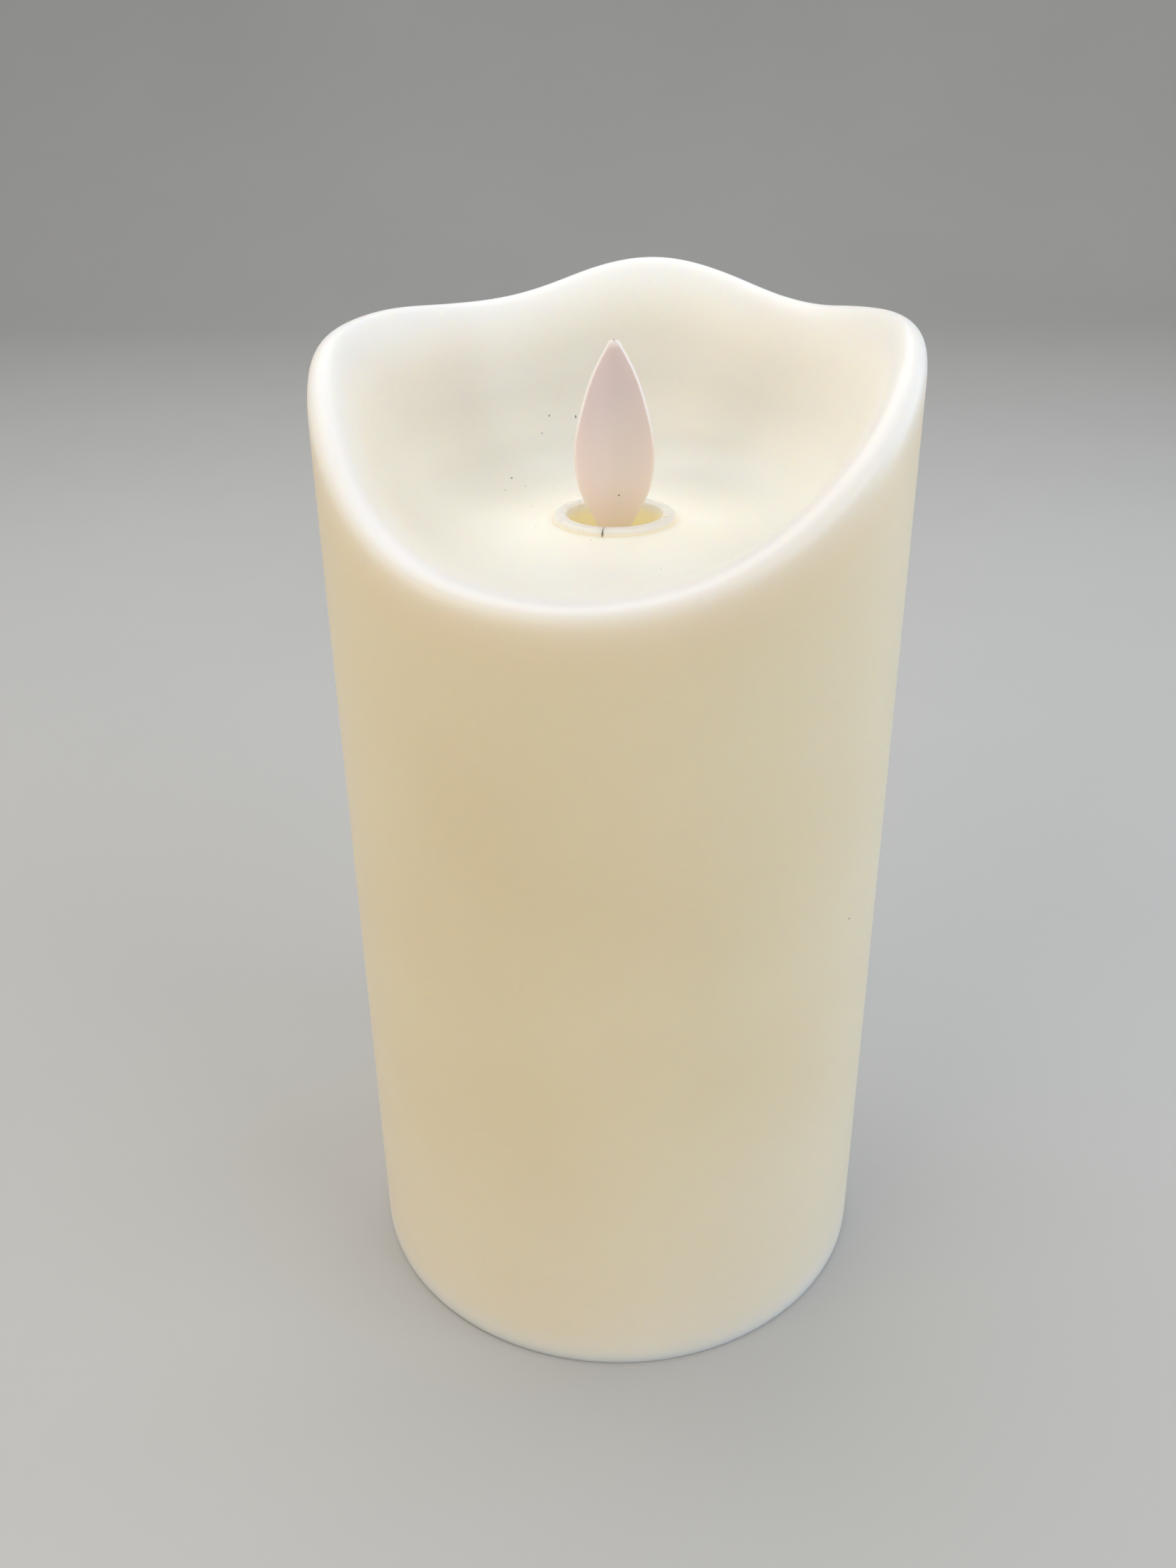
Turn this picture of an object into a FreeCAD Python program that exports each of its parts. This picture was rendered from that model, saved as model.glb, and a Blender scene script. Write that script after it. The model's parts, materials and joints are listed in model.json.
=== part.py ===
import FreeCAD, Part
import math
import os

# Flameless LED candle with a swinging flame: a wax pillar with a wavy, dished top,
# a leaf shaped flame hung on a wire above an electromagnet, and a base with two AA
# cells, a hinged battery door and a slide switch.
# Millimetres. Origin at the centre of the bottom, +Z up along the candle, front is -Y.

V = FreeCAD.Vector
OUT = "parts"
os.makedirs(OUT, exist_ok=True)

# ---------------------------------------------------------------- wax shell
BODY_R = 40.0
BORE_R = 34.0
ROOF_Z = 112.0
DISH_FLOOR = 119.95
CHIMNEY_HOLE_R = 8.1
BOTTOM_ROUND = 1.0
BLANK_TOP = 156.0
CUT_RISE = 60.0

# Height of the rim round the candle: (azimuth from +X, height). Low lip in front,
# one tall wave at the back, a lower shoulder on each side of it.
RIM = [(-102, 120.8), (-88, 121.4), (-74, 123.3), (-60, 127.0), (-46, 131.8),
       (-32, 136.7), (-18, 141.7), (-4, 144.7), (10, 145.4), (26, 144.8),
       (40, 143.9), (52, 144.8), (63, 147.0), (73, 148.7), (81, 149.2),
       (90, 148.5), (99, 146.8), (108, 144.8), (119, 143.8), (132, 143.9),
       (146, 144.5), (160, 144.3), (173, 143.6), (183, 141.9), (193, 138.1),
       (204, 132.8), (215, 127.9), (226, 124.4), (238, 122.2)]

# Section of the dish from the centre outwards: (radius, share of the rim's rise
# above the dish floor, drop below it). The last rows run out through the wall.
DISH_SECTION = [(5.0, 0, 0), (8.5, 0, 0), (12.0, 0, 0), (17.0, 0, 0), (22.0, 0.03, 0),
                (26.5, 0.14, 0), (30.0, 0.38, 0), (32.8, 0.70, 0), (35.2, 0.93, 0),
                (37.2, 1.02, 0), (38.8, 1.01, 0.15), (39.8, 1.0, 1.0), (40.25, 1.0, 2.6),
                (41.2, 1.0, 7.5)]
AZIMUTH_POLES = 48

# ---------------------------------------------------------------- collar
COLLAR_IN_R = 6.7
COLLAR_OUT_R = 8.5
COLLAR_TOP = 120.8
FLANGE_UNDER = 120.05
COLLAR_OUTER_ROUND = 0.55
COLLAR_INNER_ROUND = 0.3
SKIRT_R = 7.4
SKIRT_Z = 113.35
SLIT_WIDTH = 0.2
SLIT_AZIMUTH = -101.0

# ---------------------------------------------------------------- flame
PIVOT_Z = 113.05
PIVOT_WIRE_R = 0.25
PIVOT_WIRE_HALF = 7.4
EYE_R = 0.35
FLAME_TIP = 143.6
TAIL_END = 104.5
# Half width of the leaf and its tail at each height, tip first.
LEAF = [(143.35, 0.60), (142.7, 1.05), (141.4, 1.86), (139.1, 3.0), (135.8, 4.15),
        (131.3, 5.2), (127.8, 5.45), (124.3, 4.93), (121.9, 3.9), (119.5, 2.6), (117.3, 1.9)]
TAIL_HALF_WIDTH = 1.8
TAIL_HALF_THICK = 0.9
TAIL_TOP = 119.0
# Half thickness of the leaf: along its middle, up the height, and across, out to its edge.
LEAF_THICKEST_Z = 127.0
LEAF_SHOULDER_Z = 136.0
LEAF_SHOULDER = 0.8
TIP_HALF_THICK = 0.3
LEAF_RIDGE = 1.05
LEAF_RIDGE_CREST = 1.1
LEAF_RIDGE_SIDE = 0.98
LEAF_FLANK = 0.72
LEAF_EDGE = 0.3
MAGNET_R = 3.5
MAGNET_HEIGHT = 3.0
MAGNET_ROUND = 0.3

# ---------------------------------------------------------------- flame module
MODULE_R = 19.0
CUP_BOTTOM = 84.0
CUP_FLOOR = 86.0
CUP_TOP = 109.5
CUP_WALL = 1.6
CHIMNEY_R = 8.0
COUNTERBORE_R = 7.45
LEDGE_Z = 113.0
BOSS_PCD_R = 15.0
BOSS_R = 2.6
BOSS_PILOT_R = 1.0
BOSS_PILOT_DEPTH = 7.0
BOSS_ANGLES = (60.0, 180.0, 300.0)
SCREW_HOLE_R = 1.1
SCREW_SINK_R = 2.15
SCREW_SINK_DEPTH = 1.2
BOARD_LOW = 87.0
BOARD_TOP = 88.6
BOARD_R = 16.9
WIRE_HOLE_X = -8.5
WIRE_HOLE_R = 3.4
WIRE_SPREAD = 1.7
BOBBIN_TOP = 97.0
BOBBIN_BORE_R = 1.6
BOBBIN_CORE_R = 3.5
BOBBIN_FLANGE_R = 8.0
BOBBIN_FLANGE = 1.0
WINDING_R = 7.3
LEAD_X = -10.0
LEAD_Y = 3.5
LEAD_Z = 92.0
LEAD_PITCH = 1.27
LED_TILT = 20.0
LED_BASE_Y = 10.6
LED_BASE_Z = 99.0
LED_R = 1.5
LED_LENGTH = 4.0
LED_COLLAR_R = 1.9
LED_COLLAR = 0.9
CHIP_X = 12.2
CHIP_HALF = 2.0
CHIP_HALF_LENGTH = 2.5
CHIP_PIN_ROWS = (-1.905, -0.635, 0.635, 1.905)
CHIP_PIN_HALF = 0.2
PART_X = -9.5
CAPACITOR_Y = 9.0
CAPACITOR_R = 2.5
CAPACITOR_HEIGHT = 7.0
TRANSISTOR_Y = -9.0
TRANSISTOR_R = 2.4
TRANSISTOR_FLAT = 1.3
TRANSISTOR_LOW = BOARD_TOP + 2.4
TRANSISTOR_TOP = BOARD_TOP + 7.0
RESISTOR_X = 10.8
RESISTOR_Y = 6.2

# ---------------------------------------------------------------- base
BASE_R = 33.8
RIB_R = 33.97
PLATE_LOW = 1.0
PLATE_TOP = 3.0
SKIRT_WALL = 1.6
SKIRT_TOP = 22.0
BAY_X = 27.8
BAY_Y = 14.9
BAY_ROOF = 20.0
BAY_WALL = 1.5
BASE_RIBS = 8
GUIDE_X = 26.4
GUIDE_LOW = 5.5
GUIDE_HALF_TAG = 1.8
SCOOP_R = 6.0
DOOR_LOW = 1.2
HINGE_X = -26.0
HINGE_Z = 2.1
HINGE_R = 0.9
DOOR_END_X = 25.8
DOOR_Y = 14.6
DOOR_HOOK_Y = 8.0
DOOR_HOOK_HALF = 3.0
LATCH_HALF = 3.0
LATCH_SLOT_Y = 4.2
LATCH_SLOT_LENGTH = 9.0
LATCH_SLOT_HALF = 0.35
LATCH_RIB_PITCH = 1.8
ARROW_X = 10.0
ARROW_LENGTH = 3.6
ARROW_DEPTH = 0.3
CELL_Y = 7.3
CELL_Z = 12.2
CELL_R = 7.1
CELL_LENGTH = 50.5
CELL_BUTTON_R = 2.75
CELL_BUTTON = 1.5
CONTACT_FACE = 27.4
CONTACT_LOW = 7.0
CONTACT_TOP = 18.0
CONTACT_HALF = 5.0
CELL_TIP_X = 26.9
DIMPLE_R = 2.2
DIMPLE_DEPTH = 0.8
JUMPER_HALF = 12.5
TAG_HALF = 1.5
TAG_TOP = 24.0
TAG_WIRE_Z = 23.0
SPRING_WIRE_R = 0.35
SPRING_NARROW_R = 2.3
SPRING_WIDE_R = 4.15
SPRING_STEPS = 21
SPRING_STEP_ANGLE = 45.0
WIRE_R = 0.6
SWITCH_Y = 22.5
SWITCH_POST_X = 8.9
SWITCH_BOARD_LOW = 8.0
SWITCH_BOARD_TOP = 9.2
SWITCH_PIN_TOP = 10.2
SWITCH_PITCH = 2.5
SWITCH_TRAVEL = 4.0
SWITCH_CASE_X = 6.7
SWITCH_CASE_Y = 2.7
KNOB_LOW = 0.5
KNOB_HALF = 1.6


def save(name, shape):
    shape.exportStep(os.path.join(OUT, name + ".step"))
    box = shape.BoundBox
    print(name, shape.isValid(), len(shape.Solids), "%.2f..%.2f" % (box.ZMin, box.ZMax))


def rod(radius, low, high, x=0.0, y=0.0):
    return Part.makeCylinder(radius, high - low, V(x, y, low))


def block(x0, x1, y0, y1, z0, z1):
    return Part.makeBox(x1 - x0, y1 - y0, z1 - z0, V(x0, y0, z0))


def turned(outline):
    """Solid of revolution about Z from (radius, z) points."""
    points = [V(r, 0, z) for r, z in outline]
    face = Part.Face(Part.makePolygon(points + points[:1]))
    return face.revolve(V(0, 0, 0), V(0, 0, 1), 360)


def joined(shapes):
    """One solid from shapes that share volume or a face."""
    whole = shapes[0].fuse(list(shapes[1:]))
    whole = whole.removeSplitter()
    return whole.Solids[0] if len(whole.Solids) == 1 else whole


def polar(radius, angle):
    a = math.radians(angle)
    return radius * math.cos(a), radius * math.sin(a)


def bent_wire(points, radius, bend=None):
    """Round wire along straight runs with a tangent arc at each corner: of the bend radius
    given, or as large as the runs beside the corner allow."""
    points = [V(*p) for p in points]
    edges = []
    start = points[0]
    for before, corner, after in zip(points, points[1:], points[2:]):
        into = (corner - before).normalize()
        out = (after - corner).normalize()
        half_turn = into.getAngle(out) / 2
        shorter = min((corner - before).Length, (after - corner).Length)
        arc = bend or 0.45 * shorter / math.tan(half_turn)
        cut = arc * math.tan(half_turn)
        first = corner - into * cut
        last = corner + out * cut
        inward = (out - into).normalize()
        middle = corner + inward * (arc / math.cos(half_turn) - arc)
        edges.append(Part.LineSegment(start, first).toShape())
        edges.append(Part.Arc(first, middle, last).toShape())
        start = last
    edges.append(Part.LineSegment(start, points[-1]).toShape())
    section = Part.Wire(Part.makeCircle(radius, points[0], points[1] - points[0]))
    return Part.Wire(edges).makePipeShell([section], True, True)


def rim_height(azimuth):
    """Smooth periodic curve through the rim points."""
    count = len(RIM)
    azimuth = (azimuth - RIM[0][0]) % 360 + RIM[0][0]
    index = max(k for k in range(count) if RIM[k][0] <= azimuth)

    def point(k):
        turns, slot = divmod(k, count)
        return RIM[slot][0] + 360 * turns, RIM[slot][1]

    (xa, ya), (x0, y0), (x1, y1), (xb, yb) = [point(index + k) for k in (-1, 0, 1, 2)]
    step = x1 - x0
    slope0 = (y1 - ya) / (x1 - xa) * step
    slope1 = (yb - y0) / (xb - x0) * step
    t = (azimuth - x0) / step
    return ((1 + 2 * t) * (1 - t) ** 2 * y0 + t * (1 - t) ** 2 * slope0
            + t * t * (3 - 2 * t) * y1 + t * t * (t - 1) * slope1)


def dish_cutter():
    """Everything above the dish and the rim: a ring shaped cubic surface, raised."""
    poles = []
    for radius, share, drop in DISH_SECTION:
        ring = []
        for k in range(AZIMUTH_POLES):
            azimuth = 360.0 * k / AZIMUTH_POLES
            x, y = polar(radius, azimuth)
            rise = rim_height(azimuth) - DISH_FLOOR
            ring.append(V(x, y, DISH_FLOOR + share * rise - drop))
        poles.append(ring)
    spans = len(poles) - 3
    surface = Part.BSplineSurface()
    surface.buildFromPolesMultsKnots(
        poles, [4] + [1] * (spans - 1) + [4], [1] * (AZIMUTH_POLES + 1),
        list(range(spans + 1)), list(range(AZIMUTH_POLES + 1)), False, True, 3, 3)
    return surface.toShape().extrude(V(0, 0, CUT_RISE))


def wax_shell():
    blank = rod(BODY_R, 0, BLANK_TOP)
    low_edge = [e for e in blank.Edges if e.BoundBox.ZMax < 0.01]
    blank = blank.makeFillet(BOTTOM_ROUND, low_edge)
    blank = blank.cut(rod(BORE_R, -1, ROOF_Z))
    blank = blank.cut(rod(CHIMNEY_HOLE_R, ROOF_Z - 1, BLANK_TOP + 1))
    return blank.cut(dish_cutter())


def flame_collar():
    ring = turned([(COLLAR_IN_R, SKIRT_Z), (SKIRT_R, SKIRT_Z), (SKIRT_R, FLANGE_UNDER),
                   (COLLAR_OUT_R, FLANGE_UNDER), (COLLAR_OUT_R, COLLAR_TOP),
                   (COLLAR_IN_R, COLLAR_TOP)])
    for radius, rounding in ((COLLAR_OUT_R, COLLAR_OUTER_ROUND), (COLLAR_IN_R, COLLAR_INNER_ROUND)):
        rim = [e for e in ring.Edges if e.BoundBox.ZMin > COLLAR_TOP - 0.01
               and abs(e.BoundBox.XMax - radius) < 0.01]
        ring = ring.makeFillet(rounding, rim)
    slit = block(0, COLLAR_OUT_R + 1, -SLIT_WIDTH / 2, SLIT_WIDTH / 2, SKIRT_Z - 1, COLLAR_TOP + 1)
    slit.rotate(V(0, 0, 0), V(0, 0, 1), SLIT_AZIMUTH)
    return ring.cut(slit)


def flame_paddle():
    """Leaf outline, side profile and lens section, each run through and intersected."""
    reach = 10.0
    sides = []
    for sign in (1, -1):
        curve = Part.BSplineCurve()
        points = [V(0, -reach, FLAME_TIP)] + [V(sign * w, -reach, z) for z, w in LEAF]
        curve.interpolate(Points=points, InitialTangent=V(sign, 0, -0.4),
                          FinalTangent=V(-0.1 * sign, 0, -1))
        sides.append(curve.toShape())
    foot = [V(LEAF[-1][1], -reach, LEAF[-1][0]), V(TAIL_HALF_WIDTH, -reach, PIVOT_Z + 2),
            V(TAIL_HALF_WIDTH, -reach, TAIL_END), V(-TAIL_HALF_WIDTH, -reach, TAIL_END),
            V(-TAIL_HALF_WIDTH, -reach, PIVOT_Z + 2), V(-LEAF[-1][1], -reach, LEAF[-1][0])]
    outline = Part.Wire(Part.__sortEdges__(sides + Part.makePolygon(foot).Edges))
    leaf = Part.Face(outline).extrude(V(0, 2 * reach, 0))

    def half_profile(sign):
        curve = Part.BSplineCurve()
        curve.interpolate([V(-reach, sign * TAIL_HALF_THICK, TAIL_TOP),
                           V(-reach, sign * LEAF_RIDGE, LEAF_THICKEST_Z),
                           V(-reach, sign * LEAF_SHOULDER, LEAF_SHOULDER_Z),
                           V(-reach, sign * TIP_HALF_THICK, FLAME_TIP)])
        return curve.toShape()

    thick = TAIL_HALF_THICK
    low = TAIL_END - 1
    top = Part.LineSegment(V(-reach, TIP_HALF_THICK, FLAME_TIP),
                           V(-reach, -TIP_HALF_THICK, FLAME_TIP)).toShape()
    tail = Part.makePolygon([V(-reach, thick, TAIL_TOP), V(-reach, thick, low),
                             V(-reach, -thick, low), V(-reach, -thick, TAIL_TOP)])
    profile = Part.Wire(Part.__sortEdges__([half_profile(1), half_profile(-1), top] + tail.Edges))
    slab = Part.Face(profile).extrude(V(2 * reach, 0, 0))

    half = max(width for z, width in LEAF) + 0.5
    flank = 0.55 * half
    ridge_side = 0.12 * half
    lens = [(-half, LEAF_EDGE), (-flank, LEAF_FLANK), (-ridge_side, LEAF_RIDGE_SIDE),
            (0, LEAF_RIDGE_CREST), (ridge_side, LEAF_RIDGE_SIDE), (flank, LEAF_FLANK),
            (half, LEAF_EDGE)]
    lens_edges = []
    for sign in (1, -1):
        curve = Part.BSplineCurve()
        curve.interpolate([V(x, sign * y, low) for x, y in lens])
        lens_edges.append(curve.toShape())
    for sign in (1, -1):
        lens_edges.append(Part.LineSegment(V(sign * half, LEAF_EDGE, low),
                                           V(sign * half, -LEAF_EDGE, low)).toShape())
    bar = Part.Face(Part.Wire(Part.__sortEdges__(lens_edges))).extrude(V(0, 0, FLAME_TIP - low + 1))

    paddle = leaf.common(slab).common(bar)
    eye = Part.makeCylinder(EYE_R, 4, V(0, -2, PIVOT_Z), V(0, 1, 0))
    return paddle.cut(eye).Solids[0]


def pivot_wire():
    return Part.makeCylinder(PIVOT_WIRE_R, 2 * PIVOT_WIRE_HALF, V(0, -PIVOT_WIRE_HALF, PIVOT_Z),
                             V(0, 1, 0))


def flame_magnet():
    magnet = rod(MAGNET_R, TAIL_END - MAGNET_HEIGHT, TAIL_END)
    rims = [e for e in magnet.Edges if e.Length > 2 * math.pi * MAGNET_R - 1]
    return magnet.makeFillet(MAGNET_ROUND, rims)


def module_cover():
    cover = joined([rod(MODULE_R, CUP_TOP, ROOF_Z), rod(CHIMNEY_R, ROOF_Z - 1, FLANGE_UNDER)])
    cover = cover.cut(rod(COLLAR_IN_R, CUP_TOP - 1, FLANGE_UNDER + 1))
    cover = cover.cut(rod(COUNTERBORE_R, LEDGE_Z, FLANGE_UNDER + 1))
    groove_half = PIVOT_WIRE_R + 0.05
    groove = block(-groove_half, groove_half, -COUNTERBORE_R, COUNTERBORE_R,
                   PIVOT_Z - PIVOT_WIRE_R, LEDGE_Z + 1)
    cover = cover.cut(groove)
    for angle in BOSS_ANGLES:
        x, y = polar(BOSS_PCD_R, angle)
        cover = cover.cut(rod(SCREW_HOLE_R, CUP_TOP - 1, ROOF_Z + 1, x, y))
        cover = cover.cut(Part.makeCone(SCREW_HOLE_R, SCREW_SINK_R, SCREW_SINK_DEPTH,
                                        V(x, y, ROOF_Z - SCREW_SINK_DEPTH)))
    return cover


def module_cup():
    inner = MODULE_R - CUP_WALL
    cup = rod(MODULE_R, CUP_BOTTOM, CUP_TOP).cut(rod(inner, CUP_FLOOR, CUP_TOP + 1))
    parts = [cup]
    for angle in BOSS_ANGLES:
        x, y = polar(BOSS_PCD_R, angle)
        parts.append(rod(BOSS_R, CUP_FLOOR - 0.5, CUP_TOP, x, y))
        parts.append(rod(BOSS_R + 1, CUP_FLOOR - 0.5, BOARD_LOW, x, y).common(rod(MODULE_R, 0, 200)))
    cup = joined(parts)
    for angle in BOSS_ANGLES:
        x, y = polar(BOSS_PCD_R, angle)
        cup = cup.cut(rod(BOSS_PILOT_R, CUP_TOP - BOSS_PILOT_DEPTH, CUP_TOP + 1, x, y))
    return cup.cut(rod(WIRE_HOLE_R, CUP_BOTTOM - 1, CUP_FLOOR + 1, WIRE_HOLE_X, 0))


def module_screws():
    screws = []
    head_top = ROOF_Z - 0.1
    for angle in BOSS_ANGLES:
        x, y = polar(BOSS_PCD_R, angle)
        screw = turned([(0, head_top - 8), (0.95, head_top - 7), (0.95, head_top - 1.1),
                        (2.0, head_top - 0.05), (2.0, head_top), (0, head_top)])
        for turn in (0, 90):
            slot = block(-1.2, 1.2, -0.22, 0.22, head_top - 0.6, head_top + 1)
            slot.rotate(V(0, 0, 0), V(0, 0, 1), turn)
            screw = screw.cut(slot)
        screw.translate(V(x, y, 0))
        screws.append(screw)
    return Part.makeCompound(screws)


def control_board():
    board = rod(BOARD_R, BOARD_LOW, BOARD_TOP)
    for angle in BOSS_ANGLES:
        x, y = polar(BOSS_PCD_R, angle)
        board = board.cut(rod(BOSS_R + 0.2, BOARD_LOW - 1, BOARD_TOP + 1, x, y))
        board = board.cut(rod(BOSS_R + 0.2, BOARD_LOW - 1, BOARD_TOP + 1, *polar(BOARD_R + 1, angle)))
    return board


def coil_bobbin():
    low = BOARD_TOP + BOBBIN_FLANGE
    high = BOBBIN_TOP - BOBBIN_FLANGE
    return turned([(BOBBIN_BORE_R, BOARD_TOP), (BOBBIN_FLANGE_R, BOARD_TOP), (BOBBIN_FLANGE_R, low),
                   (BOBBIN_CORE_R, low), (BOBBIN_CORE_R, high), (BOBBIN_FLANGE_R, high),
                   (BOBBIN_FLANGE_R, BOBBIN_TOP), (BOBBIN_BORE_R, BOBBIN_TOP)])


def coil_winding():
    low = BOARD_TOP + BOBBIN_FLANGE
    high = BOBBIN_TOP - BOBBIN_FLANGE
    end_r = WINDING_R - 0.3
    taper = 0.6
    return turned([(BOBBIN_CORE_R, low), (end_r, low), (WINDING_R, low + taper),
                   (WINDING_R, high - taper), (end_r, high), (BOBBIN_CORE_R, high)])


def coil_leads():
    leads = []
    start_x = -6.53
    for y in (-LEAD_Y, LEAD_Y):
        points = [(start_x, y, LEAD_Z), (LEAD_X, y, LEAD_Z), (LEAD_X, y, BOARD_TOP)]
        leads.append(bent_wire(points, 0.2, 1.2))
    return Part.makeCompound(leads)


def led(side):
    """Round lamp with a domed nose, tilted towards the leaf; side -1 is the front."""
    body = turned([(0, 0), (LED_COLLAR_R, 0), (LED_COLLAR_R, LED_COLLAR), (LED_R, LED_COLLAR),
                   (LED_R, LED_LENGTH), (0, LED_LENGTH)])
    lamp = joined([body, Part.makeSphere(LED_R, V(0, 0, LED_LENGTH))])
    lamp.rotate(V(0, 0, 0), V(1, 0, 0), side * LED_TILT)
    lamp.translate(V(0, side * LED_BASE_Y, LED_BASE_Z))
    return lamp


def led_leads():
    leads = []
    back = 2.0
    tilt = math.radians(LED_TILT)
    for side in (-1, 1):
        low_y = side * (LED_BASE_Y + back * math.sin(tilt))
        low_z = LED_BASE_Z - back * math.cos(tilt)
        for x in (-LEAD_PITCH, LEAD_PITCH):
            points = [(x, low_y, BOARD_TOP), (x, low_y, low_z), (x, side * LED_BASE_Y, LED_BASE_Z)]
            leads.append(bent_wire(points, 0.25, 1.5))
    return Part.makeCompound(leads)


def driver_chip():
    top = BOARD_TOP + 1.6
    chip = block(CHIP_X - CHIP_HALF, CHIP_X + CHIP_HALF, -CHIP_HALF_LENGTH, CHIP_HALF_LENGTH,
                 BOARD_TOP + 0.2, top)
    chip = chip.makeChamfer(0.2, [e for e in chip.Edges if e.BoundBox.ZMin > top - 0.1])
    dot = rod(0.35, top - 0.1, top + 0.4, CHIP_X - 1.3, -1.8)
    return chip.cut(dot)


def chip_pins():
    pins = []
    for y in CHIP_PIN_ROWS:
        low_y = y - CHIP_PIN_HALF
        high_y = y + CHIP_PIN_HALF
        for side in (-1, 1):
            foot = sorted((CHIP_X + side * CHIP_HALF, CHIP_X + side * (CHIP_HALF + 1.0)))
            knee = sorted((CHIP_X + side * CHIP_HALF, CHIP_X + side * (CHIP_HALF + 0.3)))
            pins.append(joined([block(foot[0], foot[1], low_y, high_y, BOARD_TOP, BOARD_TOP + 0.2),
                                block(knee[0], knee[1], low_y, high_y, BOARD_TOP, BOARD_TOP + 1.0)]))
    return Part.makeCompound(pins)


def smoothing_capacitor():
    low = BOARD_TOP
    top = BOARD_TOP + CAPACITOR_HEIGHT
    waist = CAPACITOR_R - 0.2
    can = turned([(0, low), (CAPACITOR_R - 0.1, low), (CAPACITOR_R, low + 0.3), (CAPACITOR_R, low + 1.2),
                  (waist, low + 1.5), (CAPACITOR_R, low + 1.8), (CAPACITOR_R, top - 0.4),
                  (waist, top), (0, top)])
    can.translate(V(PART_X, CAPACITOR_Y, 0))
    return can


def coil_transistor():
    body = rod(TRANSISTOR_R, TRANSISTOR_LOW, TRANSISTOR_TOP)
    body = body.cut(block(-3, 3, TRANSISTOR_FLAT, 3, BOARD_TOP, TRANSISTOR_TOP + 1))
    body.translate(V(PART_X, TRANSISTOR_Y, 0))
    return body


def transistor_pins():
    pins = []
    for offset in (-LEAD_PITCH, 0, LEAD_PITCH):
        x = PART_X + offset
        pins.append(block(x - 0.22, x + 0.22, TRANSISTOR_Y - 0.4, TRANSISTOR_Y, BOARD_TOP, TRANSISTOR_LOW))
    return Part.makeCompound(pins)


def resistors():
    return Part.makeCompound([block(RESISTOR_X - 1.0, RESISTOR_X + 1.0, y - 0.6, y + 0.6,
                                    BOARD_TOP, BOARD_TOP + 0.5) for y in (-RESISTOR_Y, RESISTOR_Y)])


def base_housing():
    inner_r = BASE_R - SKIRT_WALL
    plate = rod(BASE_R, PLATE_LOW, PLATE_TOP)
    plate = plate.makeChamfer(0.5, [e for e in plate.Edges if e.BoundBox.ZMax < PLATE_LOW + 0.1])
    skirt = rod(BASE_R, PLATE_TOP, SKIRT_TOP).cut(rod(inner_r, PLATE_TOP - 1, SKIRT_TOP + 1))
    bay = block(-BAY_X - BAY_WALL, BAY_X + BAY_WALL, -BAY_Y - BAY_WALL, BAY_Y + BAY_WALL,
                PLATE_TOP, BAY_ROOF + BAY_WALL).common(rod(BASE_R, 0, 50))
    parts = [plate, skirt, bay]
    for k in range(BASE_RIBS):
        rib = block(BASE_R - 1, RIB_R, -0.5, 0.5, PLATE_TOP + 1, SKIRT_TOP - 2)
        rib.rotate(V(0, 0, 0), V(0, 0, 1), 360.0 * (k + 0.5) / BASE_RIBS)
        parts.append(rib)
    for x in (-SWITCH_POST_X, SWITCH_POST_X):
        parts.append(rod(1.9, PLATE_TOP - 0.5, SWITCH_BOARD_LOW, x, SWITCH_Y))
    housing = joined(parts)
    housing = housing.cut(block(-BAY_X, BAY_X, -BAY_Y, BAY_Y, PLATE_TOP, BAY_ROOF))
    housing = housing.cut(block(HINGE_X - HINGE_R - 0.2, DOOR_END_X + 0.2, -BAY_Y, BAY_Y,
                                0, PLATE_TOP + 0.5))

    # Ribs that hold the contact plates by their edges.
    guide_end = CONTACT_FACE - 0.05
    for end in (-1, 1):
        x0, x1 = sorted((end * GUIDE_X, end * guide_end))
        for side in (-1, 1):
            y0, y1 = sorted((side * BAY_Y, side * 12.1))
            housing = housing.fuse(block(x0, x1, y0, y1, GUIDE_LOW, BAY_ROOF))
    housing = housing.fuse(block(GUIDE_X, guide_end, -2.6, 2.6, GUIDE_LOW, BAY_ROOF))
    housing = housing.fuse(block(GUIDE_X, BAY_X, -GUIDE_HALF_TAG, GUIDE_HALF_TAG, GUIDE_LOW, BAY_ROOF))
    housing = housing.removeSplitter()

    # Slots for the two solder tags.
    for y in (-CELL_Y, CELL_Y):
        housing = housing.cut(block(CONTACT_FACE - 0.2, BAY_X, y - GUIDE_HALF_TAG, y + GUIDE_HALF_TAG,
                                    BAY_ROOF - 1, BAY_ROOF + 3))

    # Switch window with a shallow finger recess round it, and pilot holes.
    housing = housing.cut(block(-4.2, 4.2, SWITCH_Y - 1.6, SWITCH_Y + 1.6, 0, PLATE_TOP + 1))
    housing = housing.cut(block(-8.5, 8.5, SWITCH_Y - 3.2, SWITCH_Y + 3.2, 0, PLATE_LOW + 0.5))
    for x in (-SWITCH_POST_X, SWITCH_POST_X):
        housing = housing.cut(rod(0.95, PLATE_TOP + 0.5, SWITCH_BOARD_LOW + 1, x, SWITCH_Y))
    # Finger scoop at the latch end of the door.
    scoop = rod(SCOOP_R, 0, PLATE_LOW + 0.9, DOOR_END_X + 1.2, 0)
    scoop = scoop.common(block(DOOR_END_X, BASE_R, -2 * SCOOP_R, 2 * SCOOP_R, 0, PLATE_TOP))
    return housing.cut(scoop).Solids[0]


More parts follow.
